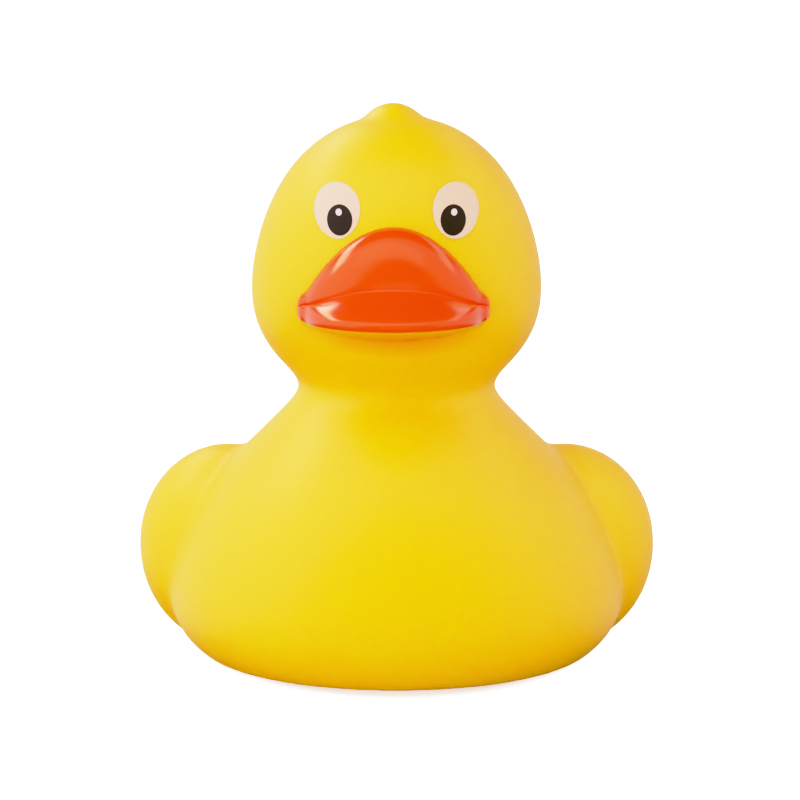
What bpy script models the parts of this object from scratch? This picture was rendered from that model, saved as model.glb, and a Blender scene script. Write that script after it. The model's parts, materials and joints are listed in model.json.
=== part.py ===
"""A rubber duck: one hollow vinyl moulding, with a squeaker pressed into the hole in its base.

World units are metres, +Z up. The duck faces -Y and stands on its foot at Z = 0, with the middle of its
box on the Z axis. The sizes below are in millimetres, and mesh_object turns them into metres.
"""

import math

import bmesh
import bpy

METRES_PER_MM = 0.001

# Driving dimensions, in millimetres.
WALL = 1.8
CROWN_HEIGHT = 80.2
WING_HALF_SPAN = 38.8
TAIL_TIP_Y = 45.5
TAIL_TIP_Z = 43.0
BILL_TIP_Y = -37.4
MOUTH_HALF_WIDTH = 13.5
BILL_MIDDLE_X = -0.4
PLAN_POWER = 2.15
CENTRE_SHIFT_Y = -(BILL_TIP_Y + TAIL_TIP_Y) / 2

# A folded wing: its half sizes, its middle, and how its two ends leave the plain oval.
WING_HALF_THICKNESS = 13.6
WING_HALF_LENGTH = 25.0
WING_HALF_HEIGHT = 15.2
WING_MIDDLE_Y = 6.5
WING_MIDDLE_Z = 14.8
WING_TIP_LIFT = 10.5
WING_TIP_TURN_IN = 4.5
WING_TIP_NARROWING = 0.42
WING_FRONT_TUCK = 8.0

# The curl of feathers on the crown: half an egg.
TUFT_MIDDLE = (-0.5, -4.0, 78.2)
TUFT_HALF_SIZE = (4.6, 5.6, 3.8)

# The foot: a flat rim round a shallow dish, with the squeaker's seat in the middle.
DISH_DEPTH = 0.8
RIM_WIDTH = 7.0
FLOOR_HEIGHT = 3.6
SEAT_RADIUS = 8.5
SEAT_CEILING = 1.9
HOLE_RADIUS = 6.5
FIT_GAP = 0.3

# The squeaker.
AIR_HOLE_RADIUS = 1.2
FLANGE_FACE = 0.7
FLANGE_CHAMFER = 0.3
BARB_OVERHANG = 0.9
BARB_EDGE = 0.6
BARB_LENGTH = 2.6
BARREL_STEP = 1.0
BARREL_TOP = 11.1
BARREL_CHAMFER = 0.6

# Cutters reach this far past what they cut.
CUTTER_HALF_WIDTH = 60.0
CUTTER_BOTTOM = -20.0

# Mesh fineness.
FORM_VOXEL = 1.1
FORM_SMOOTHING = 7
OUTER_KEEP = 0.11
CAVITY_KEEP = 0.05
TRUNK_SIDES = 44
WING_SIDES = 28
WING_STEPS = 20
TAIL_SIDES = 24
TUFT_SIDES = 20
TUFT_STEPS = 10
BILL_STEPS = 8
OVAL_SIDES = 48
TURNED_SIDES = 40
SHARP_ANGLE = math.radians(40)

# Finishes: colour in linear light, and roughness.
YELLOW_VINYL = ((0.89, 0.60, 0.01, 1.0), 0.45)
ORANGE_PAINT = ((0.84, 0.07, 0.01, 1.0), 0.16)
MILKY_PLASTIC = ((0.82, 0.80, 0.74, 1.0), 0.38)

# Trunk sections from the foot to the crown: height, half width, front, widest, back.
TRUNK = (
    (-3.0, 25.0, -26.0, 1.0, 25.0),
    (0.0, 28.0, -29.0, 1.0, 28.5),
    (2.5, 31.0, -31.6, 1.5, 31.5),
    (7.5, 33.0, -33.4, 2.0, 35.0),
    (13.0, 32.2, -33.4, 2.0, 37.5),
    (19.0, 30.7, -32.0, 2.0, 38.0),
    (25.0, 28.3, -29.4, 2.0, 36.0),
    (30.0, 24.0, -25.8, 1.0, 30.0),
    (34.5, 19.0, -21.7, -1.5, 19.5),
    (38.4, 15.2, -18.7, -4.0, 11.5),
    (40.4, 14.4, -18.1, -4.5, 9.5),
    (42.4, 15.2, -19.3, -5.0, 10.0),
    (45.6, 17.9, -22.2, -5.0, 12.0),
    (50.4, 20.5, -25.0, -5.0, 14.9),
    (56.5, 21.2, -26.2, -5.0, 16.0),
    (63.5, 19.9, -25.5, -5.0, 15.3),
    (70.2, 17.1, -22.6, -5.0, 12.6),
    (75.4, 13.1, -18.6, -5.0, 8.6),
    (78.6, 8.5, -13.7, -5.0, 3.7),
    (80.0, 4.0, -9.0, -5.0, -1.0),
)

# Tail sections from inside the body to the tip: y, height, half width, half thickness.
TAIL = (
    (14.0, 20.0, 23.0, 14.0),
    (26.0, 23.5, 19.0, 11.5),
    (34.0, 29.5, 13.5, 7.8),
    (40.0, 36.0, 9.2, 4.8),
    (43.4, 40.6, 5.8, 3.0),
)
TAIL_TIP_HALF_WIDTH = 2.8
TAIL_TIP_HALF_THICKNESS = 1.2

# The bill's side profile, from the crease on the forehead round to the chin: the y and z on the centre
# line, the y and z at the corners of the mouth, and how fast the height falls from one to the other.
BILL = (
    (-15.0, 64.8, -15.0, 55.4, 2.0),
    (-23.4, 65.4, -20.0, 55.6, 2.0),
    (-25.1, 65.7, -22.2, 55.7, 2.0),
    (-26.6, 65.1, -22.9, 55.6, 2.0),
    (-28.2, 63.5, -23.3, 55.4, 2.0),
    (-29.4, 61.6, -23.5, 55.2, 2.3),
    (-30.2, 59.6, -23.5, 54.9, 2.6),
    (-30.4, 58.4, -23.3, 54.6, 3.0),
    (-30.2, 58.0, -22.3, 54.4, 3.0),
    (-30.8, 57.5, -23.4, 54.2, 3.0),
    (-33.2, 55.6, -24.0, 54.2, 2.5),
    (-36.1, 54.0, -24.2, 54.0, 2.0),
    (BILL_TIP_Y, 53.0, -24.3, 53.2, 2.0),
    (-37.1, 52.0, -23.6, 52.1, 2.0),
    (-35.4, 51.6, -22.2, 51.8, 2.0),
    (-30.0, 50.2, -20.6, 51.7, 2.0),
    (-24.0, 48.9, -18.0, 51.7, 2.0),
    (-15.0, 49.0, -15.0, 52.0, 2.0),
)
BILL_HALF_DEPTH = 7.0
BILL_END_TURN = math.radians(86)


def spline(points, steps):
    """Catmull-Rom curve through tuples of numbers, with this many steps between neighbours."""
    last = len(points) - 1
    curve = []
    for span in range(last):
        before, start, end, after = (
            points[min(max(span + shift, 0), last)] for shift in (-1, 0, 1, 2)
        )
        for step in range(steps):
            t = step / steps
            curve.append(
                tuple(
                    b + 0.5 * t * (c - a + t * (2 * a - 5 * b + 4 * c - d + t * (3 * b - a - 3 * c + d)))
                    for a, b, c, d in zip(before, start, end, after)
                )
            )
    curve.append(points[last])
    return curve


def signed_power(value, power):
    return math.copysign(abs(value) ** power, value)


def add_loft(mesh, rings, hollow):
    """Joins rings of equally many points with quads. A hollow loft's last ring joins its first."""
    loops = [[mesh.verts.new(point) for point in ring] for ring in rings]
    following = loops[1:] + loops[:1] if hollow else loops[1:]
    for lower, upper in zip(loops, following):
        for i in range(len(lower)):
            j = (i + 1) % len(lower)
            mesh.faces.new((lower[i], lower[j], upper[j], upper[i]))
    if not hollow:
        mesh.faces.new(reversed(loops[0]))
        mesh.faces.new(loops[-1])


def angles(count):
    return [2 * math.pi * i / count for i in range(count)]


def trunk_rings(inset):
    """Egg-shaped level sections, each made of a front half and a back half that meet at the widest line."""
    squeeze = (CROWN_HEIGHT - inset) / CROWN_HEIGHT
    rings = []
    for height, half_width, front, widest, back in spline(TRUNK, 3):
        ring = []
        for angle in angles(TRUNK_SIDES):
            depth = (front if math.cos(angle) > 0 else back) - widest
            depth -= math.copysign(inset, depth)
            x = (half_width - inset) * signed_power(math.sin(angle), 2 / PLAN_POWER)
            y = widest + abs(depth) * -signed_power(math.cos(angle), 2 / PLAN_POWER)
            ring.append((x, y, height * squeeze))
        rings.append(ring)
    return rings


def wing_rings(side, inset):
    """A folded wing: a lobe that tucks into the chest in front, and narrows, lifts and turns in behind."""
    rings = []
    for step in range(1, WING_STEPS):
        along = -math.cos(math.pi * step / WING_STEPS)
        rear = max(along, 0.0)
        front = max(-along, 0.0)
        radius = math.sqrt(1 - along * along)
        x = WING_HALF_SPAN - WING_HALF_THICKNESS - WING_TIP_TURN_IN * rear**2 - WING_FRONT_TUCK * front**2
        y = WING_MIDDLE_Y + (WING_HALF_LENGTH - inset) * along
        z = WING_MIDDLE_Z + WING_TIP_LIFT * rear**2
        width = (WING_HALF_THICKNESS - inset) * radius
        height = (WING_HALF_HEIGHT - inset) * radius * (1 - WING_TIP_NARROWING * rear)
        rings.append(
            [(side * (x + width * math.cos(a)), y, z + height * math.sin(a)) for a in angles(WING_SIDES)]
        )
    return rings


def tail_rings(inset):
    """An upturned tail: oval sections square to a line that curves up from the body."""
    stations = spline(TAIL, 3)
    rings = []
    for index, (y, z, half_width, half_thickness) in enumerate(stations):
        ahead = stations[min(index + 1, len(stations) - 1)]
        behind = stations[max(index - 1, 0)]
        slope = math.atan2(ahead[1] - behind[1], ahead[0] - behind[0])
        width = max(half_width - inset, 1.0)
        thickness = max(half_thickness - inset, 0.6)
        rings.append(
            [
                (
                    width * math.cos(a),
                    y - thickness * math.sin(a) * math.sin(slope),
                    z + thickness * math.sin(a) * math.cos(slope),
                )
                for a in angles(TAIL_SIDES)
            ]
        )
    tip_y = TAIL_TIP_Y - inset
    tip_z = TAIL_TIP_Z - 2 * inset
    rings.append(
        [
            (TAIL_TIP_HALF_WIDTH * math.cos(a), tip_y, tip_z + TAIL_TIP_HALF_THICKNESS * math.sin(a))
            for a in angles(TAIL_SIDES)
        ]
    )
    return rings


def tuft_rings():
    """The small curl on the crown, as level ovals that shrink upwards."""
    x, y, z = TUFT_MIDDLE
    half_width, half_depth, half_height = TUFT_HALF_SIZE
    rings = []
    for step in range(1, TUFT_STEPS):
        rise = math.pi / 2 * step / TUFT_STEPS
        shrink = math.cos(rise)
        rings.append(
            [
                (
                    x + half_width * shrink * math.cos(a),
                    y + half_depth * shrink * math.sin(a),
                    z + half_height * math.sin(rise),
                )
                for a in angles(TUFT_SIDES)
            ]
        )
    return rings


def bill_rings(inset):
    """Side profiles across the bill, shrinking from the centre line to each corner of the mouth."""
    middle_y = sum(point[0] for point in BILL) / len(BILL)
    middle_z = sum(point[1] for point in BILL) / len(BILL)
    shrink = 1 - inset / BILL_HALF_DEPTH
    rings = []
    for step in range(-BILL_STEPS, BILL_STEPS + 1):
        turn = step / BILL_STEPS * BILL_END_TURN
        fall = math.cos(turn)
        ring = []
        for centre_y, centre_z, corner_y, corner_z, power in BILL:
            x = BILL_MIDDLE_X + (MOUTH_HALF_WIDTH - inset) * math.sin(turn)
            y = corner_y + (middle_y + (centre_y - middle_y) * shrink - corner_y) * fall
            z = corner_z + (middle_z + (centre_z - middle_z) * shrink - corner_z) * fall**power
            ring.append((x, y, z))
        rings.append(ring)
    return rings


def mesh_object(name, parts, finish, hollow=False):
    """One object from lists of rings, in metres, with its own material."""
    colour, roughness = finish
    built = bmesh.new()
    for rings in parts:
        add_loft(built, rings, hollow)
    bmesh.ops.recalc_face_normals(built, faces=built.faces)
    for vertex in built.verts:
        vertex.co.y += CENTRE_SHIFT_Y
        vertex.co *= METRES_PER_MM
    mesh = bpy.data.meshes.new(name)
    built.to_mesh(mesh)
    built.free()
    mesh.shade_smooth()
    mesh.set_sharp_from_angle(angle=SHARP_ANGLE)
    material = bpy.data.materials.new(name)
    material.use_nodes = True
    shader = material.node_tree.nodes["Principled BSDF"]
    shader.inputs["Base Color"].default_value = colour
    shader.inputs["Roughness"].default_value = roughness
    material.diffuse_color = colour
    mesh.materials.append(material)
    piece = bpy.data.objects.new(name, mesh)
    bpy.context.collection.objects.link(piece)
    return piece


def soften(piece, keep):
    """Melts overlapping forms into one skin with soft fillets, then thins its triangles."""
    remesh = piece.modifiers.new("one_skin", "REMESH")
    remesh.mode = "VOXEL"
    remesh.voxel_size = FORM_VOXEL * METRES_PER_MM
    smooth = piece.modifiers.new("fillets", "SMOOTH")
    smooth.factor = 0.5
    smooth.iterations = FORM_SMOOTHING
    thin = piece.modifiers.new("thin_triangles", "DECIMATE")
    thin.ratio = keep


def combine(piece, other, operation):
    """Adds or cuts another object, which then stays only as a guide."""
    boolean = piece.modifiers.new(other.name, "BOOLEAN")
    boolean.operation = operation
    boolean.object = other
    boolean.material_mode = "TRANSFER"
    other.hide_render = True
    other.display_type = "WIRE"


def oval_rings(half_width, front, back, top):
    """Straight-sided oval block from below the duck up to a height."""
    middle = (front + back) / 2
    half_depth = (back - front) / 2
    return [
        [(half_width * math.sin(a), middle - half_depth * math.cos(a), z) for a in angles(OVAL_SIDES)]
        for z in (CUTTER_BOTTOM, top)
    ]


def turned_rings(outline):
    """Rings of a turned piece from its (radius, height) outline, centred on the seat."""
    return [
        [(radius * math.cos(a), -CENTRE_SHIFT_Y + radius * math.sin(a), z) for a in angles(TURNED_SIDES)]
        for radius, z in outline
    ]


def make_duck_body():
    outer_forms = [trunk_rings(0), wing_rings(1, 0), wing_rings(-1, 0), tail_rings(0), tuft_rings()]
    body = mesh_object("duck_body", outer_forms, YELLOW_VINYL)
    soften(body, OUTER_KEEP)
    combine(body, mesh_object("bill_guide", [bill_rings(0)], ORANGE_PAINT), "UNION")

    inner_forms = [trunk_rings(WALL), wing_rings(1, WALL), wing_rings(-1, WALL), tail_rings(WALL)]
    cavity = mesh_object("cavity_guide", [*inner_forms, bill_rings(WALL)], YELLOW_VINYL)
    soften(cavity, CAVITY_KEEP)
    under_floor = oval_rings(CUTTER_HALF_WIDTH, -CUTTER_HALF_WIDTH, CUTTER_HALF_WIDTH, FLOOR_HEIGHT)
    combine(cavity, mesh_object("cavity_floor_guide", [under_floor], YELLOW_VINYL), "DIFFERENCE")
    combine(body, cavity, "DIFFERENCE")

    _, foot_half_width, foot_front, _, foot_back = TRUNK[1]
    cuts = {
        "ground_guide": oval_rings(CUTTER_HALF_WIDTH, -CUTTER_HALF_WIDTH, CUTTER_HALF_WIDTH, 0),
        "dish_guide": oval_rings(
            foot_half_width - RIM_WIDTH, foot_front + RIM_WIDTH, foot_back - RIM_WIDTH, DISH_DEPTH
        ),
        "seat_guide": turned_rings(((SEAT_RADIUS, CUTTER_BOTTOM), (SEAT_RADIUS, SEAT_CEILING))),
        "hole_guide": turned_rings(((HOLE_RADIUS, CUTTER_BOTTOM), (HOLE_RADIUS, FLOOR_HEIGHT + WALL))),
    }
    for name, rings in cuts.items():
        combine(body, mesh_object(name, [rings], YELLOW_VINYL), "DIFFERENCE")


def make_squeaker():
    """A turned plug: flange in the seat, groove round the vinyl lip, barb inside, and an air hole."""
    flange = SEAT_RADIUS - FIT_GAP
    neck = HOLE_RADIUS - FIT_GAP
    barrel = neck - BARREL_STEP
    flange_top = SEAT_CEILING - FIT_GAP
    barb_bottom = FLOOR_HEIGHT + FIT_GAP
    outline = (
        (AIR_HOLE_RADIUS, FLANGE_FACE),
        (flange - FLANGE_CHAMFER, FLANGE_FACE),
        (flange, FLANGE_FACE + FLANGE_CHAMFER),
        (flange, flange_top),
        (neck, flange_top),
        (neck, barb_bottom),
        (neck + BARB_OVERHANG, barb_bottom),
        (neck + BARB_OVERHANG, barb_bottom + BARB_EDGE),
        (barrel, barb_bottom + BARB_LENGTH),
        (barrel, BARREL_TOP - BARREL_CHAMFER),
        (barrel - BARREL_CHAMFER, BARREL_TOP),
        (AIR_HOLE_RADIUS, BARREL_TOP),
    )
    mesh_object("squeaker", [turned_rings(outline)], MILKY_PLASTIC, hollow=True)


def main():
    for old in list(bpy.data.objects):
        bpy.data.objects.remove(old, do_unlink=True)
    make_duck_body()
    make_squeaker()


main()
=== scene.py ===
# %% [markdown]
# # A classic rubber duck
#
# The real duck is one hollow moulding in soft yellow vinyl. Its bill is sprayed orange through a mask, its
# eyes are printed on with a soft pad, and a squeaker is pressed into its base.
# This lesson models it the way a sculptor blocks out clay: a few simple forms are pulled out of circles,
# pushed into each other, melted into one skin and smoothed. The crisp parts come afterwards: the bill,
# its coat of paint, the printed eyes and the squeaker.
#
# The frame holds the measured model. It is loaded first, and its boxes give the places.

# %% Load the frame
import json
import math

import bmesh
import bpy
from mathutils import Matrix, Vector

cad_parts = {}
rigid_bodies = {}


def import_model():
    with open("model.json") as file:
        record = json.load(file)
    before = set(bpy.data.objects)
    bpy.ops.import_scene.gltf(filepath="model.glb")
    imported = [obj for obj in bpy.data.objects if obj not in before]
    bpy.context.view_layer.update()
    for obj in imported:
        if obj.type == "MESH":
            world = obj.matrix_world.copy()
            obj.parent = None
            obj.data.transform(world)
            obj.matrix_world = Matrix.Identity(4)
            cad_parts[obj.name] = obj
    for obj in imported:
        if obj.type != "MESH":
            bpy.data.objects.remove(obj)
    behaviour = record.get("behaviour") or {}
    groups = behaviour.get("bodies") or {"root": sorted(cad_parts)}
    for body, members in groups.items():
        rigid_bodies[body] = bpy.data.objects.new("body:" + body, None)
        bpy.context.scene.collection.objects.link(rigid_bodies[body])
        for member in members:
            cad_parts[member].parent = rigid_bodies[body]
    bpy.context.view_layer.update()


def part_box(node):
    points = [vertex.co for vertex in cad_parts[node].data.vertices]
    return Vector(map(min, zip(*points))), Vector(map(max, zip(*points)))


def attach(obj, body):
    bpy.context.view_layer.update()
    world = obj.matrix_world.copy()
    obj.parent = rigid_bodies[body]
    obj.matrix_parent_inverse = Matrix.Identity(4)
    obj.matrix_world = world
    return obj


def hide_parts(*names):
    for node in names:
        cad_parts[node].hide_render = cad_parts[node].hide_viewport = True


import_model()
MM = 0.001
body_low, body_high = (Vector(corner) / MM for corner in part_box("duck_body"))
plug_low, plug_high = (Vector(corner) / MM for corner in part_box("squeaker"))
print("duck body:", tuple(round(size, 1) for size in body_high - body_low), "mm")

# %% [markdown]
# Sizes are in millimetres, as on a drawing, and `MM` turns them into metres. The forms are drawn about the
# middle of the trunk. `FORWARD` slides them along Y until the tip of the bill meets the front of the box.

# %% Driving sizes
BILL_TIP = -37.4
FORWARD = body_low.y - BILL_TIP
TAIL_TIP = body_high.y - FORWARD
HALF_SPAN = body_high.x
TOP = body_high.z
print("slide", round(FORWARD, 2), "tail tip", round(TAIL_TIP, 2), "half span", round(HALF_SPAN, 2))

# %% [markdown]
# ## Materials
#
# Colours are written as the sRGB hex values that a painter would pick, and one function turns them into the
# linear values that a renderer mixes. One small function adds a node with its settings, values and links.

# %% Colour and node helpers


def linear(hex_colour):
    """sRGB hex to linear RGBA."""
    channels = [int(hex_colour[start : start + 2], 16) / 255 for start in (1, 3, 5)]
    return [c / 12.92 if c <= 0.04045 else ((c + 0.055) / 1.055) ** 2.4 for c in channels] + [1.0]


def new_material(name, values):
    """A Principled material with these values on its own sockets."""
    material = bpy.data.materials.new(name)
    material.use_nodes = True
    shader = material.node_tree.nodes["Principled BSDF"]
    for socket, value in values.items():
        shader.inputs[socket].default_value = value
    return material, shader


def add_node(owner, kind, settings=None, values=None, links=None):
    """Adds a node to a material or world. links maps an input to the output socket that feeds it."""
    node = owner.node_tree.nodes.new(kind)
    for name, value in (settings or {}).items():
        setattr(node, name, value)
    for name, value in (values or {}).items():
        node.inputs[name].default_value = value
    for name, source in (links or {}).items():
        owner.node_tree.links.new(source, node.inputs[name])
    return node


print("yellow in linear light:", [round(c, 3) for c in linear("#F3D000")])

# %% [markdown]
# ### Soft PVC, moulded by rotation
#
# Vinyl is dyed right through and lets a little light in, so its shadows stay warm. The mould was blasted
# with grit, which leaves a satin skin: broad soft highlights and no sharp reflections.
# The dye is never quite even, so the colour drifts over a centimetre or two. The grit leaves a grain of a
# quarter of a millimetre, and the wall shrinks as it cools, which leaves a slow waviness.
# Below the bill the vinyl turns orange. This is painted shade: it stands for the bill's shadow and for the
# orange light that the bill throws onto the vinyl.

# %% Satin yellow vinyl
DYE_DRIFT = 16 * MM
GRIT_GRAIN = 0.25 * MM
COOLING_WAVE = 9 * MM
# painted shade under the bill, tinted orange like light bounced off the bill: its middle and half sizes
BILL_SHADE_MIDDLE = Vector((1.5, -28.5 + FORWARD, 50.0)) * MM
BILL_SHADE_HALF_SIZE = Vector((16.0, 11.0, 4.0)) * MM


def satin_vinyl():
    material, shader = new_material(
        "satin_yellow_vinyl",
        {
            "Roughness": 0.45,
            "IOR": 1.52,
            "Specular IOR Level": 0.38,
            "Subsurface Weight": 0.6,
            "Subsurface Radius": (1.0, 0.4, 0.05),
            "Subsurface Scale": 3.0 * MM,
        },
    )
    place = add_node(material, "ShaderNodeTexCoord").outputs["Object"]
    drift, grain, wave = (
        add_node(
            material,
            "ShaderNodeTexNoise",
            values={"Scale": 1 / size, "Detail": detail},
            links={"Vector": place},
        ).outputs["Fac"]
        for size, detail in ((DYE_DRIFT, 2), (GRIT_GRAIN, 2), (COOLING_WAVE, 0))
    )
    dye = add_node(
        material,
        "ShaderNodeMix",
        settings={"data_type": "RGBA"},
        values={6: linear("#F7CA00"), 7: linear("#F8CE04")},
        links={0: drift},
    )
    centred = add_node(
        material,
        "ShaderNodeMapping",
        settings={"vector_type": "TEXTURE"},
        values={"Location": BILL_SHADE_MIDDLE, "Scale": BILL_SHADE_HALF_SIZE},
        links={"Vector": place},
    )
    # painted shade: under the bill the dye is mixed towards orange, for the bill's shadow and its orange
    # bounce
    painted_bill_shade = add_node(
        material,
        "ShaderNodeTexGradient",
        settings={"gradient_type": "SPHERICAL"},
        links={"Vector": centred.outputs["Vector"]},
    )
    dye_and_bill_shade = add_node(
        material,
        "ShaderNodeMix",
        settings={"data_type": "RGBA"},
        values={7: linear("#F08C00")},
        links={0: painted_bill_shade.outputs["Fac"], 6: dye.outputs[2]},
    )
    slow = add_node(
        material, "ShaderNodeBump", values={"Strength": 0.3, "Distance": 0.05 * MM}, links={"Height": wave}
    )
    fine = add_node(
        material,
        "ShaderNodeBump",
        values={"Strength": 0.2, "Distance": 0.008 * MM},
        links={"Height": grain, "Normal": slow.outputs["Normal"]},
    )
    material.node_tree.links.new(dye_and_bill_shade.outputs[2], shader.inputs["Base Color"])
    material.node_tree.links.new(fine.outputs["Normal"], shader.inputs["Normal"])
    return material


VINYL = satin_vinyl()
print("made", VINYL.name)

# %% [markdown]
# ### Sprayed enamel
#
# A wet coat of orange enamel levels out before it dries, so the bill reflects the studio like glass. Its
# clear binder shines more than bare plastic, which the raised and warmly tinted specular stands for. A faint
# orange peel ripples it every millimetre or two.

# %% Gloss orange enamel
ORANGE_PEEL = 1.8 * MM


def gloss_enamel():
    material, shader = new_material(
        "gloss_orange_enamel",
        {
            "Base Color": linear("#EC4A12"),
            "Roughness": 0.16,
            "IOR": 1.5,
            "Specular IOR Level": 0.9,
            "Specular Tint": (1.0, 0.75, 0.3, 1.0),
        },
    )
    place = add_node(material, "ShaderNodeTexCoord").outputs["Object"]
    peel = add_node(
        material,
        "ShaderNodeTexNoise",
        values={"Scale": 1 / ORANGE_PEEL, "Detail": 1},
        links={"Vector": place},
    )
    ripple = add_node(
        material,
        "ShaderNodeBump",
        values={"Strength": 0.15, "Distance": 0.02 * MM},
        links={"Height": peel.outputs["Fac"]},
    )
    material.node_tree.links.new(ripple.outputs["Normal"], shader.inputs["Normal"])
    return material


ENAMEL = gloss_enamel()
print("made", ENAMEL.name)

# %% [markdown]
# ### Pad-printing inks
#
# The eyes are three flat colours, each carried over by a silicone pad: a cream white, a warm black and a
# small light spot. The ink dries nearly matt and slightly mottled, where it soaked into the grain.

# %% Printed inks
INK_MOTTLE = 0.5 * MM


def printed_ink(name, thin, thick, roughness):
    material, shader = new_material(
        name, {"Roughness": roughness, "IOR": 1.48, "Specular IOR Level": 0.25}
    )
    place = add_node(material, "ShaderNodeTexCoord").outputs["Object"]
    mottle = add_node(
        material, "ShaderNodeTexNoise", values={"Scale": 1 / INK_MOTTLE, "Detail": 3}, links={"Vector": place}
    )
    colour = add_node(
        material,
        "ShaderNodeMix",
        settings={"data_type": "RGBA"},
        values={6: linear(thin), 7: linear(thick)},
        links={0: mottle.outputs["Fac"]},
    )
    material.node_tree.links.new(colour.outputs[2], shader.inputs["Base Color"])
    return material


CREAM_INK = printed_ink("cream_pad_ink", "#DFC9B0", "#E6D2BC", 0.5)
BLACK_INK = printed_ink("warm_black_pad_ink", "#20130D", "#2A1A13", 0.4)
SPOT_INK = printed_ink("light_spot_pad_ink", "#E6DAD2", "#EEE3DC", 0.5)
print("made", CREAM_INK.name, BLACK_INK.name, SPOT_INK.name)

# %% [markdown]
# ### Milky polyethylene
#
# The squeaker is moulded in undyed polyethylene, a waxy and cloudy plastic that light sinks into. Faint
# flow marks run through it.

# %% Milky polyethylene
FLOW_MARK = 1.2 * MM


def milky_polyethylene():
    material, shader = new_material(
        "milky_polyethylene",
        {
            "Base Color": linear("#E9E7DF"),
            "Roughness": 0.38,
            "IOR": 1.51,
            "Subsurface Weight": 0.4,
            "Subsurface Radius": (1.0, 0.95, 0.85),
            "Subsurface Scale": 1.5 * MM,
        },
    )
    place = add_node(material, "ShaderNodeTexCoord").outputs["Object"]
    flow = add_node(
        material, "ShaderNodeTexNoise", values={"Scale": 1 / FLOW_MARK, "Detail": 2}, links={"Vector": place}
    )
    marks = add_node(
        material,
        "ShaderNodeBump",
        values={"Strength": 0.3, "Distance": 0.02 * MM},
        links={"Height": flow.outputs["Fac"]},
    )
    material.node_tree.links.new(marks.outputs["Normal"], shader.inputs["Normal"])
    return material


POLYETHYLENE = milky_polyethylene()
print("made", POLYETHYLENE.name)

# %% [markdown]
# ## Pulling forms out of circles
#
# Trunk, wings and tail are all made in one way: a filled circle is added, and its face is extruded from
# section to section, moved and resized each time. It is the same work as pressing E, G and S by hand.
# A section is a centre and its half sizes. A subdivision surface then rounds the steps away.

# %% Extruding a circle through sections
FACE_TURN = {"X": (0, math.pi / 2, 0), "Y": (math.pi / 2, 0, 0), "Z": (0, 0, 0)}


def mm(x, y, z):
    """A point on the drawing, in metres and slid forward into the frame."""
    return Vector((x, y + FORWARD, z)) * MM


def deselect_all():
    if bpy.context.mode != "OBJECT":
        bpy.ops.object.mode_set(mode="OBJECT")
    for thing in bpy.context.selected_objects:
        thing.select_set(False)


def pick(piece):
    """Selects one piece alone and makes it the active one."""
    deselect_all()
    piece.select_set(True)
    bpy.context.view_layer.objects.active = piece


def apply_modifier(piece, kind, **settings):
    pick(piece)
    modifier = piece.modifiers.new(kind.lower(), kind)
    for name, value in settings.items():
        setattr(modifier, name, value)
    bpy.ops.object.modifier_apply(modifier=modifier.name)


def edit(piece):
    """Opens a piece in edit mode, working on its corners, with everything selected."""
    pick(piece)
    bpy.ops.object.mode_set(mode="EDIT")
    bpy.ops.mesh.select_mode(type="VERT")
    bpy.ops.mesh.select_all(action="SELECT")


def close_up(piece):
    """Turns all faces outwards and leaves edit mode."""
    bpy.ops.mesh.select_all(action="SELECT")
    bpy.ops.mesh.normals_make_consistent(inside=False)
    bpy.ops.object.mode_set(mode="OBJECT")


def select_if(piece, test):
    """In edit mode, selects the corners whose place, in metres, passes the test."""
    mesh = bmesh.from_edit_mesh(piece.data)
    for vertex in mesh.verts:
        vertex.select_set(test(vertex.co))
    mesh.select_flush_mode()
    bmesh.update_edit_mesh(piece.data)


def start_circle(name, corners, facing, fill="NGON"):
    """A circle of radius 1 at the origin, facing along an axis, open in edit mode."""
    deselect_all()
    bpy.ops.mesh.primitive_circle_add(vertices=corners, radius=1, fill_type=fill, rotation=FACE_TURN[facing])
    bpy.ops.object.transform_apply(location=False, rotation=True, scale=False)
    piece = bpy.context.object
    piece.name = name
    edit(piece)
    return piece


def resize(factors, centre):
    bpy.ops.transform.resize(value=factors, center_override=centre)


def extrude(move):
    bpy.ops.mesh.extrude_region_move(TRANSFORM_OT_translate={"value": move})


def pull_through(name, facing, sections, corners=28):
    """Extrudes a circle through (centre, half sizes) sections, then rounds it by subdivision."""
    piece = start_circle(name, corners, facing)
    centre, size = sections[0]
    resize(Vector(size) * MM, (0, 0, 0))
    bpy.ops.transform.translate(value=mm(*centre))
    for next_centre, next_size in sections[1:]:
        extrude(mm(*next_centre) - mm(*centre))
        resize([new / old for new, old in zip(next_size, size)], mm(*next_centre))
        centre, size = next_centre, next_size
    close_up(piece)
    apply_modifier(piece, "SUBSURF", levels=2, render_levels=2)
    return piece


# %% [markdown]
# ## The trunk
#
# Foot, body, neck and head are one form that is pulled straight up from below the foot. Its level sections
# are egg-shaped, longer behind than in front. So each new ring is resized three times: sideways as a whole,
# and then its front half and its rear half by themselves, about the line where the duck is widest.

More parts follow.
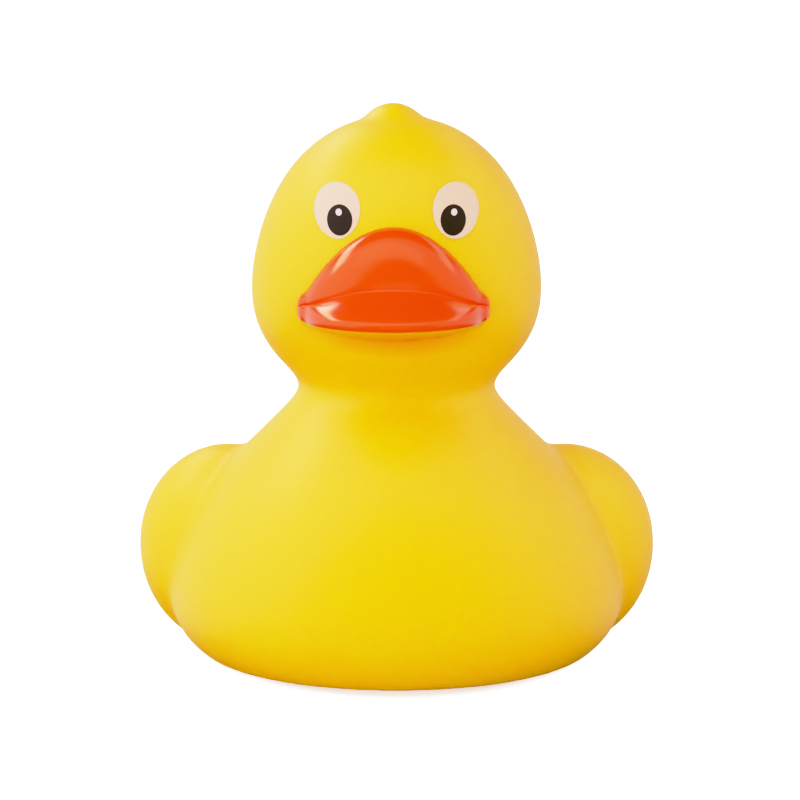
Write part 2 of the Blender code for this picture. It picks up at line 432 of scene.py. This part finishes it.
# %% Pull the trunk up
# height, half width, and the y of the front, of the widest line and of the back
TRUNK = (
    (-3.0, 25.0, -26.0, 1.0, 25.0),
    (0.0, 29.0, -29.2, 1.0, 29.0),
    (2.6, 32.6, -32.2, 1.5, 32.2),
    (7.5, 34.4, -34.0, 2.0, 35.4),
    (13.0, 33.6, -33.8, 2.0, 37.8),
    (19.0, 31.7, -32.6, 2.0, 38.0),
    (25.0, 28.5, -30.2, 2.0, 35.0),
    (30.0, 23.4, -27.4, -1.0, 25.0),
    (34.5, 18.9, -24.0, -2.0, 18.4),
    (38.4, 15.3, -19.4, -4.0, 11.3),
    (40.4, 14.0, -17.8, -4.5, 9.2),
    (42.4, 15.2, -19.2, -5.0, 9.8),
    (45.6, 18.6, -22.6, -5.0, 12.4),
    (50.4, 21.2, -25.6, -5.0, 15.4),
    (56.5, 21.6, -26.6, -5.0, 16.4),
    (63.5, 20.2, -25.8, -5.0, 15.6),
    (70.2, 17.4, -23.0, -5.0, 12.9),
    (75.4, 13.2, -19.0, -5.0, 8.9),
    (78.8, 7.9, -13.4, -5.0, 3.4),
    (79.8, 3.2, -8.4, -5.0, -1.6),
)
TRUNK_CORNERS = 36
NEARLY = 1e-7


def pull_trunk():
    """Extrudes a circle up through the TRUNK's egg-shaped sections."""
    piece = start_circle("vinyl_skin", TRUNK_CORNERS, "Z")
    resize((MM, MM, MM), (0, 0, 0))
    height = widest = 0.0
    half_width = front_depth = back_depth = 1.0
    for section in TRUNK:
        new_height, new_half_width, front, new_widest, back = section
        move = Vector((0, new_widest - widest, new_height - height)) * MM
        if section is TRUNK[0]:
            bpy.ops.transform.translate(value=move + Vector((0, FORWARD * MM, 0)))
        else:
            extrude(move)
        middle = mm(0, new_widest, new_height)
        resize((new_half_width / half_width, 1, 1), middle)
        select_if(piece, lambda co: abs(co.z - middle.z) < NEARLY and co.y < middle.y - NEARLY)
        resize((1, (new_widest - front) / front_depth, 1), middle)
        select_if(piece, lambda co: abs(co.z - middle.z) < NEARLY and co.y > middle.y + NEARLY)
        resize((1, (back - new_widest) / back_depth, 1), middle)
        select_if(piece, lambda co: abs(co.z - middle.z) < NEARLY)
        height, half_width, widest = new_height, new_half_width, new_widest
        front_depth, back_depth = new_widest - front, back - new_widest
    close_up(piece)
    apply_modifier(piece, "SUBSURF", levels=2, render_levels=2)
    return piece


skin = pull_trunk()
trunk_top = max(vertex.co.z for vertex in skin.data.vertices) / MM
print("trunk:", len(skin.data.polygons), "faces, up to", round(trunk_top, 1))

# %% [markdown]
# ## The wings
#
# Each folded wing is a thick lobe at the shoulder. Towards its tip it narrows, lifts and turns in towards
# the tail. A circle is pulled backwards through sections that follow half a turn of a cosine, so both ends
# come out round.

# %% Pull each wing backwards
# half thickness and half height of each wing, and how far it reaches from its middle
WING_HALF_SIZE = (13.9, 15.8)
WING_FRONT_LENGTH = 15.0
WING_REAR_LENGTH = 25.2
WING_MIDDLE_BACK = 6.5
WING_MIDDLE_UP = 14.5
# rounding pulls the wing in by this much, so it starts wider
WING_ALLOWANCE = 0.75
WING_STEPS = 12
TIP_LIFT = 8.8
TIP_TURN_IN = 4.5
TIP_NARROWING = 0.42
FRONT_TUCK = 4.0


def wing_sections(side):
    thick, tall = WING_HALF_SIZE
    sections = []
    for step in range(1, WING_STEPS):
        along = -math.cos(math.pi * step / WING_STEPS)
        rear = max(along, 0.0)
        front = max(-along, 0.0)
        round_off = math.sqrt(1 - along * along)
        x = HALF_SPAN + WING_ALLOWANCE - thick - TIP_TURN_IN * rear**2 - FRONT_TUCK * front**2
        back = WING_MIDDLE_BACK + WING_REAR_LENGTH * rear - WING_FRONT_LENGTH * front
        up = WING_MIDDLE_UP + TIP_LIFT * rear**2
        half_height = tall * round_off * (1 - TIP_NARROWING * rear)
        sections.append(((side * x, back, up), (thick * round_off, 1.0, half_height)))
    return sections


wings = [pull_through("wing", "Y", wing_sections(side)) for side in (-1, 1)]
print("wings:", [len(wing.data.polygons) for wing in wings], "faces")

# %% [markdown]
# ## The tail and the curl
#
# The tail sweeps up behind the body and flattens into a rounded tip. It is pulled backwards too. The curl of
# feathers on the crown is a small swelling, made from a sphere that is squashed and leans a little aside.

# %% Pull the tail back, and add the curl
# rounding pulls the tip in by this much, so it starts further back
TAIL_ALLOWANCE = 0.3
# distance back, height, half width, half height
TAIL = (
    (12.0, 19.0, 22.0, 14.0),
    (22.0, 21.5, 20.8, 13.5),
    (30.0, 26.0, 16.8, 11.6),
    (36.5, 31.6, 12.4, 9.2),
    (41.4, 36.8, 8.4, 6.4),
    (44.4, 40.2, 5.2, 3.6),
    (TAIL_TIP + TAIL_ALLOWANCE, 41.8, 2.6, 1.5),
)
tail = pull_through("tail", "Y", [((0, back, up), (wide, 1.0, tall)) for back, up, wide, tall in TAIL])

CURL_HALF_SIZE = Vector((4.6, 5.6, 3.6))
CURL_ASIDE = -0.5
CURL_BACK = -4.0
deselect_all()
bpy.ops.mesh.primitive_uv_sphere_add(segments=32, ring_count=16, radius=1)
curl = bpy.context.object
edit(curl)
resize(CURL_HALF_SIZE * MM, (0, 0, 0))
bpy.ops.transform.translate(value=mm(CURL_ASIDE, CURL_BACK, TOP - CURL_HALF_SIZE.z))
bpy.ops.object.mode_set(mode="OBJECT")
print("tail and curl are", len(tail.data.polygons), "and", len(curl.data.polygons), "faces")

# %% [markdown]
# ## One skin
#
# The forms are joined and remeshed: the voxel remesh keeps only the outside and fuses what overlaps, and
# smoothing then relaxes every junction into a soft fillet, as wax and a thumb would. After that the foot is
# cut flat, a shallow dish is sunk into it, and the seat of the squeaker is drilled. A second, short pass
# of remesh and smoothing takes the edge off these cuts.

# %% Fuse the forms
FORM_VOXEL = 0.6 * MM
FILLET_PASSES = 14
EDGE_PASSES = 4


def melt(piece, passes):
    apply_modifier(piece, "REMESH", mode="VOXEL", voxel_size=FORM_VOXEL)
    apply_modifier(piece, "SMOOTH", factor=0.5, iterations=passes)


def join(pieces):
    """Joins pieces into the first of them."""
    pick(pieces[0])
    for piece in pieces[1:]:
        piece.select_set(True)
    bpy.ops.object.join()
    return pieces[0]


skin = join([skin, *wings, tail, curl])
melt(skin, FILLET_PASSES)
print("skin:", len(skin.data.polygons), "faces")

# %% [markdown]
# The cutters are cylinders. Each one is added at its size and place, and a Boolean takes it away from the
# skin. The ground is cut first, then the dish, then the seat.

# %% Cut the foot
SEAT_GAP = 0.3
seat_radius = (plug_high.x - plug_low.x) / 2 + SEAT_GAP
CUTTER_HALF_DEPTH = 10.0
CUTTER_CORNERS = 96
# half width, half depth, middle, height of the cut
FOOT_CUTS = (
    (60.0, 60.0, 0.0, 0.0),
    (21.0, 22.0, -0.2, 0.8),
    (seat_radius, seat_radius, -FORWARD, 1.9),
)


def cut(piece, cutter, operation="DIFFERENCE"):
    apply_modifier(piece, "BOOLEAN", operation=operation, object=cutter, solver="EXACT")
    bpy.data.objects.remove(cutter)


for half_width, half_depth, middle, height in FOOT_CUTS:
    deselect_all()
    bpy.ops.mesh.primitive_cylinder_add(vertices=CUTTER_CORNERS, radius=1, depth=2)
    block = bpy.context.object
    edit(block)
    resize(Vector((half_width, half_depth, CUTTER_HALF_DEPTH)) * MM, (0, 0, 0))
    bpy.ops.transform.translate(value=mm(0, middle, height - CUTTER_HALF_DEPTH))
    bpy.ops.object.mode_set(mode="OBJECT")
    cut(skin, block)
melt(skin, EDGE_PASSES)
print("foot is at", round(min(v.co.z for v in skin.data.vertices) / MM, 2), "mm")

# %% [markdown]
# ## The bill
#
# The bill is moulded in one with the head, but its edges are crisp, so it is made by itself. Its side
# profile is a ring: from the crease on the forehead, over the upper half, into the mouth line, out along
# the lower half to the lip, and back underneath to the chin. The ring is extruded from one corner of
# the mouth to the other. On its way each of its points swings out along an oval, while its height rises
# by a power of the same cosine: 2 gives a parabola, and less than 2 a rounder arch.

# %% Profiles across the bill
MOUTH_HALF_WIDTH = 13.5
BILL_MIDDLE = -0.4
# each point's y and z on the centre line, its y and z at the corner of the mouth, and its power
BILL = (
    (-15.0, 64.8, -15.0, 55.3, 1.85),
    (-23.4, 65.2, -20.0, 55.5, 1.85),
    (-25.1, 65.5, -22.2, 55.6, 1.85),
    (-26.7, 65.1, -22.9, 55.5, 1.85),
    (-28.3, 63.6, -23.3, 55.3, 1.85),
    (-29.5, 61.4, -23.5, 55.0, 2.0),
    (-30.2, 59.2, -23.5, 54.7, 2.0),
    (-30.6, 57.7, -23.3, 54.5, 2.0),
    (-30.5, 57.3, -22.3, 54.2, 2.1),
    (-30.9, 56.8, -23.2, 54.3, 2.0),
    (-33.2, 55.4, -23.8, 54.4, 1.5),
    (-36.0, 54.1, -24.1, 54.3, 2.0),
    (-37.6, 53.0, -24.6, 53.2, 2.0),
    (-37.2, 52.0, -23.9, 52.2, 2.0),
    (-35.6, 51.5, -22.2, 51.4, 2.0),
    (-30.0, 50.2, -20.6, 51.3, 2.0),
    (-24.0, 48.9, -18.0, 51.3, 2.0),
    (-15.0, 49.0, -15.0, 51.6, 2.0),
)
# the faces from this point of the profile on are left bare
PAINT_EDGE = 13
# the oval takes this part of the half width, and the closing rings the rest
ROUND_PART = 0.92
CORNER = Vector((0, -22.8, 53.6))
# degrees round the oval
LAST_TURN = 80
TURNS = range(-LAST_TURN, LAST_TURN + 1, 10)
# how far round the oval each ring is, how far across it is, and how much it keeps of its height
CLOSING = ((0.97, 0.8), (1.0, 0.4))
RINGS = [
    *((-LAST_TURN, -across, kept) for across, kept in reversed(CLOSING)),
    *((turn, ROUND_PART * math.sin(math.radians(turn)), 1.0) for turn in TURNS),
    *((LAST_TURN, across, kept) for across, kept in CLOSING),
]


def pull_bill():
    """Extrudes the profile across the bill. Every corner keeps its number in the profile."""
    piece = start_circle("bill", len(BILL), "X")
    numbers = bmesh.from_edit_mesh(piece.data).verts.layers.int.new("number")
    for index, vertex in enumerate(bmesh.from_edit_mesh(piece.data).verts):
        vertex[numbers] = index
    for turn, across, kept in RINGS:
        if across > RINGS[0][1]:
            extrude((0, 0, 0))
        swing = math.cos(math.radians(turn))
        mesh = bmesh.from_edit_mesh(piece.data)
        numbers = mesh.verts.layers.int["number"]
        for vertex in mesh.verts:
            if vertex.select:
                y, z, corner_y, corner_z, power = BILL[vertex[numbers]]
                y = corner_y + (y - corner_y) * swing
                z = corner_z + (z - corner_z) * swing**power
                y, z = CORNER.y + (y - CORNER.y) * kept, CORNER.z + (z - CORNER.z) * kept
                vertex.co = mm(BILL_MIDDLE + MOUTH_HALF_WIDTH * across, y, z)
        bmesh.update_edit_mesh(piece.data)
    mesh = bmesh.from_edit_mesh(piece.data)
    numbers = mesh.verts.layers.int["number"]
    for face in mesh.faces:
        face.material_index = int(min(vertex[numbers] for vertex in face.verts) >= PAINT_EDGE)
    bmesh.update_edit_mesh(piece.data)
    close_up(piece)
    for material in (ENAMEL, VINYL):
        piece.data.materials.append(material)
    apply_modifier(piece, "SUBSURF", levels=3, render_levels=3)
    return piece


bill = pull_bill()
print("bill:", len(bill.data.polygons), "faces")

# %% [markdown]
# The paint is a real layer, a tenth of a millimetre thick. A copy of the bill loses its underside, which the
# mask kept bare, and is thickened outwards. The bill itself is then united with the skin, which leaves a
# crisp crease where it meets the face.

# %% Paint the bill, then unite it with the skin
PAINT_THICKNESS = 0.1


def copy_of(piece, name):
    twin = piece.copy()
    twin.data = piece.data.copy()
    twin.name = name
    bpy.context.collection.objects.link(twin)
    return twin


def dress(piece, material):
    """Gives a piece one material on all its faces."""
    piece.data.materials.clear()
    piece.data.materials.append(material)
    for face in piece.data.polygons:
        face.material_index = 0


paint = copy_of(bill, "bill_paint")
edit(paint)
bpy.ops.mesh.select_mode(type="FACE")
mesh = bmesh.from_edit_mesh(paint.data)
for face in mesh.faces:
    face.select_set(face.material_index == 1)
bmesh.update_edit_mesh(paint.data)
bpy.ops.mesh.delete(type="FACE")
bpy.ops.object.mode_set(mode="OBJECT")
apply_modifier(paint, "SOLIDIFY", thickness=PAINT_THICKNESS * MM, offset=1, use_even_offset=True)
dress(paint, ENAMEL)
dress(bill, VINYL)
cut(skin, bill, "UNION")
dress(skin, VINYL)
print("skin with bill:", len(skin.data.polygons), "faces; paint:", len(paint.data.polygons))

# %% [markdown]
# ## The printed eyes
#
# A printing pad comes straight at the face and wraps round it. So each printed shape is drawn flat in front
# of the face, divided finely, and dropped onto the skin along Y. It gets the thickness of a film of ink.
# The shapes are slightly egg-shaped, with the broad end up. The three films overlap: white, black, spot.

# %% Print the eyes
# name, distance from the middle, height, half width, half height, taper, film, material, slot
PRINTS = (
    ("eye_white", 8.35, 67.5, 3.25, 3.84, 0.05, 0.05, CREAM_INK, "white_ink"),
    ("pupil", 7.95, 66.2, 1.78, 2.12, 0.02, 0.09, BLACK_INK, "black_ink"),
    ("eye_spot", 8.07, 67.25, 0.43, 0.48, 0.0, 0.13, SPOT_INK, "white_ink"),
)
# the films are rooted this deep in the skin, and each is drawn this far before the bill
FILM_ROOT = 0.25
PAD_START = BILL_TIP - 5
PRINT_CORNERS = 64


def print_shape(name, x, z, half_width, half_height, taper, film, material):
    piece = start_circle(name, PRINT_CORNERS, "Y", fill="NOTHING")
    resize(Vector((half_width, 1, half_height)) * MM, (0, 0, 0))
    bpy.ops.transform.translate(value=mm(x, PAD_START, z))
    bpy.ops.mesh.fill_grid(span=PRINT_CORNERS // 4)
    mesh = bmesh.from_edit_mesh(piece.data)
    for vertex in mesh.verts:
        below = (z * MM - vertex.co.z) / (half_height * MM)
        vertex.co.x = x * MM + (vertex.co.x - x * MM) * (1 - taper * below)
    bmesh.update_edit_mesh(piece.data)
    bpy.ops.mesh.select_all(action="SELECT")
    bpy.ops.mesh.normals_make_consistent(inside=False)
    bpy.ops.object.mode_set(mode="OBJECT")
    apply_modifier(
        piece,
        "SHRINKWRAP",
        target=skin,
        wrap_method="PROJECT",
        use_project_y=True,
        use_positive_direction=True,
        use_negative_direction=False,
        offset=0,
    )
    pick(piece)
    if sum(face.normal.y for face in piece.data.polygons) > 0:
        piece.data.flip_normals()
    depth = film + FILM_ROOT
    apply_modifier(piece, "SOLIDIFY", thickness=depth * MM, offset=2 * film / depth - 1)
    dress(piece, material)
    return piece


films = []
for name, x, z, half_width, half_height, taper, film, material, slot in PRINTS:
    for side, side_name in ((-1, "left"), (1, "right")):
        piece = print_shape(
            f"{name}_{side_name}", side * x, z, half_width, half_height, taper, film, material
        )
        films.append((piece, slot))
print("printed:", [piece.name for piece, _ in films])

# %% [markdown]
# ## The squeaker
#
# The plug is a turned part: a flange in its seat, a neck, a barb inside the duck, and an air hole. One
# circle is extruded as an open edge from one turning point of the outline to the next, and the last
# edge is bridged to the first. It shows only from below.

# %% Turn the squeaker
PLUG_CORNERS = 72
AIR_HOLE = 1.2
# radius and height, from the air hole's outer end, round the outside, to its inner end
PLUG = (
    (AIR_HOLE, plug_low.z),
    (seat_radius - SEAT_GAP - 0.3, plug_low.z),
    (seat_radius - SEAT_GAP, plug_low.z + 0.3),
    (seat_radius - SEAT_GAP, 1.6),
    (6.2, 1.6),
    (6.2, 3.9),
    (7.1, 3.9),
    (7.1, 4.5),
    (5.2, 6.5),
    (5.2, plug_high.z - 0.6),
    (4.6, plug_high.z),
    (AIR_HOLE, plug_high.z),
)


def turn_plug():
    piece = start_circle("squeaker_plug", PLUG_CORNERS, "Z", fill="NOTHING")
    radius, height = PLUG[0]
    resize((radius * MM, radius * MM, MM), (0, 0, 0))
    bpy.ops.transform.translate(value=(0, 0, height * MM))
    for new_radius, new_height in PLUG[1:]:
        extrude((0, 0, (new_height - height) * MM))
        resize((new_radius / radius, new_radius / radius, 1), (0, 0, new_height * MM))
        radius, height = new_radius, new_height
    select_if(piece, lambda co: Vector((co.x, co.y)).length < (AIR_HOLE + 0.01) * MM)
    bpy.ops.mesh.bridge_edge_loops()
    close_up(piece)
    apply_modifier(piece, "BEVEL", width=0.15 * MM, segments=2, limit_method="ANGLE")
    dress(piece, POLYETHYLENE)
    return piece


squeaker = turn_plug()
print("squeaker:", len(squeaker.data.polygons), "faces")

# %% [markdown]
# ## Finish the pieces
#
# Smooth shading hides the facets, and an angle keeps true edges crisp. Each piece rides on the frame's one
# body, and the frame's node that it stands for is hidden.

# %% Shade, ride and hide
SMOOTH_ANGLE = math.radians(38)
for piece, slot, stands_for in (
    (skin, "yellow_vinyl", "duck_body"),
    (paint, "orange_paint", None),
    (squeaker, "milky_plastic", "squeaker"),
    *((film, slot, None) for film, slot in films),
):
    pick(piece)
    bpy.ops.object.shade_smooth_by_angle(angle=SMOOTH_ANGLE)
    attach(piece, "root")
    if stands_for:
        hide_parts(stands_for)
    print(piece.name, len(piece.data.polygons), "faces")

# %% [markdown]
# ## The studio
#
# The duck stands on white paper. The paper glows by itself, so it stays pure white, and close to the foot its
# glow is dimmed: a painted shadow. It lights nothing: a grey card below it, hidden from the camera, bounces
# light onto the duck.

# %% Floor
PAPER_WHITE = 2.6
# how far the painted shadow of the foot reaches from the middle of the trunk, and the glow that is left at
# its darkest
SHADE_REACH = (31.5, 40.0, 40.0)
SHADE_GLOW = 0.4
SHADE_FALL = 0.22
FLOOR_SIZE = 14
CARD_SIZE = 3
deselect_all()
bpy.ops.mesh.primitive_plane_add(size=FLOOR_SIZE)
floor = bpy.context.object
floor.name = "white_sweep"
sweep, sweep_shader = new_material(
    "white_paper_sweep",
    {
        "Base Color": (0.77, 0.9, 0.97, 1.0),
        "Roughness": 0.9,
        "Specular IOR Level": 0.0,
        "Emission Color": (1.0, 1.0, 1.0, 1.0),
    },
)
place = add_node(sweep, "ShaderNodeTexCoord").outputs["Object"]
reach = add_node(
    sweep,
    "ShaderNodeMapping",
    settings={"vector_type": "TEXTURE"},
    values={"Location": (0.0, FORWARD * MM, 0.0), "Scale": [size * MM for size in SHADE_REACH]},
    links={"Vector": place},
)
shade = add_node(
    sweep,
    "ShaderNodeTexGradient",
    settings={"gradient_type": "SPHERICAL"},
    links={"Vector": reach.outputs["Vector"]},
)
# painted shadow: the glow of the paper falls away towards the foot
glow_with_painted_shadow = add_node(
    sweep,
    "ShaderNodeMapRange",
    values={"From Max": SHADE_FALL, "To Min": PAPER_WHITE, "To Max": SHADE_GLOW},
    links={"Value": shade.outputs["Fac"]},
)
sweep.node_tree.links.new(glow_with_painted_shadow.outputs["Result"], sweep_shader.inputs["Emission Strength"])
floor.data.materials.append(sweep)
for ray in ("diffuse", "glossy", "shadow"):
    setattr(floor, "visible_" + ray, False)

deselect_all()
bpy.ops.mesh.primitive_plane_add(size=CARD_SIZE, location=(0, 0, -MM))
card = bpy.context.object
card.name = "bounce_card"
card.visible_camera = False
card.visible_glossy = False
grey_card, _ = new_material("matt_grey_card", {"Base Color": (0.55, 0.54, 0.52, 1.0), "Roughness": 1.0})
card.data.materials.append(grey_card)
print("floor is", floor.dimensions.x, "m wide")

# %% [markdown]
# ### A tent of cloth
#
# A tent of white cloth stands round the duck and glows more on its left. It is open before the duck,
# overhead and below. So the cloth is reflected only towards the duck's edges, and the colour is deepest
# where the skin faces the camera.

# %% Light tent
# middle and half sizes of each dark part, in directions: before the duck, overhead, and below
DARK_PARTS = (
    ((0.1, -1.0, -0.22), (1.0, 0.9, 1.02)),
    ((0.0, 0.6, 0.9), (1.1, 0.75, 0.72)),
    ((0.0, 0.0, -1.0), (1.6, 1.6, 0.9)),
)
# how much the openings still glow, and how soft their rims are
OPENING_GLOW = 0.02
OPENING_SOFTNESS = 0.16
LEFT_GLOW = 1.15
RIGHT_GLOW = 0.7


def light_tent():
    """White cloth all round, brighter on the left, with dark openings before, above and below the duck."""
    world = bpy.data.worlds.new("light_tent")
    world.use_nodes = True
    bpy.context.scene.world = world
    direction = add_node(world, "ShaderNodeTexCoord").outputs["Generated"]
    split = add_node(world, "ShaderNodeSeparateXYZ", links={"Vector": direction})
    glow = add_node(
        world,
        "ShaderNodeMapRange",
        values={"From Min": -1.0, "To Min": LEFT_GLOW, "To Max": RIGHT_GLOW},
        links={"Value": split.outputs["X"]},
    ).outputs["Result"]
    for middle, half_size in DARK_PARTS:
        centred = add_node(
            world,
            "ShaderNodeMapping",
            settings={"vector_type": "TEXTURE"},
            values={"Location": middle, "Scale": half_size},
            links={"Vector": direction},
        )
        inside = add_node(
            world,
            "ShaderNodeTexGradient",
            settings={"gradient_type": "SPHERICAL"},
            links={"Vector": centred.outputs["Vector"]},
        )
        cloth = add_node(
            world,
            "ShaderNodeMapRange",
            values={"From Max": OPENING_SOFTNESS, "To Min": 1.0, "To Max": OPENING_GLOW},
            links={"Value": inside.outputs["Fac"]},
        )
        glow = add_node(
            world,
            "ShaderNodeMath",
            settings={"operation": "MULTIPLY"},
            links={0: cloth.outputs["Result"], 1: glow},
        ).outputs[0]
    seen = add_node(world, "ShaderNodeLightPath").outputs["Is Camera Ray"]
    strength = add_node(world, "ShaderNodeMix", values={3: PAPER_WHITE}, links={0: seen, 2: glow})
    background = world.node_tree.nodes["Background"]
    background.inputs["Color"].default_value = (1.0, 1.0, 1.0, 1.0)
    world.node_tree.links.new(strength.outputs[0], background.inputs["Strength"])


light_tent()
print("the cloth glows", LEFT_GLOW, "on the left and", RIGHT_GLOW, "on the right")

# %% [markdown]
# ### Soft boxes
#
# Soft boxes light the vinyl from both sides and from the front. Only the roof and two long windows also
# show as reflections: they draw the streaks on the lip and along the top of the bill.

# %% Soft boxes


def soft_box(name, azimuth, elevation, distance, size, watts, glossy):
    """A rectangular soft box that looks at the duck. Azimuth 0 is the camera's side."""
    light = bpy.data.lights.new(name, "AREA")
    light.shape = "RECTANGLE"
    light.size, light.size_y = size
    light.energy = watts
    lamp = bpy.data.objects.new(name, light)
    bpy.context.collection.objects.link(lamp)
    turn, rise = math.radians(azimuth), math.radians(elevation)
    towards = Vector((math.sin(turn) * math.cos(rise), -math.cos(turn) * math.cos(rise), math.sin(rise)))
    lamp.location = AIM + towards * distance
    lamp.rotation_euler = towards.to_track_quat("Z", "Y").to_euler()
    lamp.visible_glossy = glossy


AIM = Vector((0.5, 0.0, 36.8)) * MM
# name, azimuth, elevation, distance in metres, width and height in metres, watts, seen in reflections
SOFT_BOXES = (
    ("key", -75, 18, 0.7, (0.5, 0.6), 0.75, False),
    ("fill", 95, 12, 0.7, (0.4, 0.6), 0.55, False),
    ("front", 2, 5, 0.9, (0.7, 0.5), 6.1, False),
    ("roof", -8, 57, 0.7, (1.0, 0.34), 0.5, True),
    ("window_left", -126, 42, 0.7, (0.8, 0.16), 2.3, True),
    ("window_right", 126, 42, 0.7, (0.8, 0.16), 0.6, True),
)
for box in SOFT_BOXES:
    soft_box(*box)
print("lit by", [name for name, *_ in SOFT_BOXES])

# %% [markdown]
# ## The camera
#
# A long lens, half a metre away and a little above, keeps the duck's proportions calm.

# %% Camera
CAMERA_DISTANCE = 0.48
CAMERA_RISE = math.radians(8.28)
LENS = 144
SENSOR = 36
camera_data = bpy.data.cameras.new("camera")
camera_data.lens = LENS
camera_data.sensor_width = SENSOR
camera_data.clip_start = 0.01
camera = bpy.data.objects.new("camera", camera_data)
bpy.context.collection.objects.link(camera)
towards_camera = Vector((0, -math.cos(CAMERA_RISE), math.sin(CAMERA_RISE)))
camera.location = AIM + towards_camera * CAMERA_DISTANCE
camera.rotation_euler = towards_camera.to_track_quat("Z", "Y").to_euler()
bpy.context.scene.camera = camera
print("camera at", tuple(round(c, 3) for c in camera.location))

# %% [markdown]
# ## Developing
#
# Camera sensors don't clip hard. Bright yellow fills the red channel first, which bends over early, while
# green and blue stay straight for longer. Very dark blue sinks to nothing, which keeps the yellow pure.
# Three curves do the same here. All of them end in pure white a little below PAPER_WHITE, and stay there.

# %% Film response
# light in, and brightness out
RED_SHOULDER = ((0.35, 0.42), (0.55, 0.7), (0.7, 0.805), (0.9, 0.86), (1.2, 0.905), (1.8, 0.995), (2.2, 1.0))
GREEN_SHOULDER = ((0.5, 0.5), (0.68, 0.67), (0.9, 0.77), (1.2, 0.86), (1.8, 0.995), (2.2, 1.0))
BLUE_SHOULDER = ((0.01, 0.001), (0.03, 0.027), (0.5, 0.5), (0.9, 0.78), (1.3, 0.9), (1.8, 0.995), (2.2, 1.0))


def develop():
    view = bpy.context.scene.view_settings
    view.view_transform = "Standard"
    view.use_curve_mapping = True
    film = view.curve_mapping
    film.white_level = (PAPER_WHITE,) * 3
    for curve, shoulder in zip(film.curves, (RED_SHOULDER, GREEN_SHOULDER, BLUE_SHOULDER)):
        for light, brightness in shoulder:
            curve.points.new(light / PAPER_WHITE, brightness)
    film.update()


develop()
print("film response set")
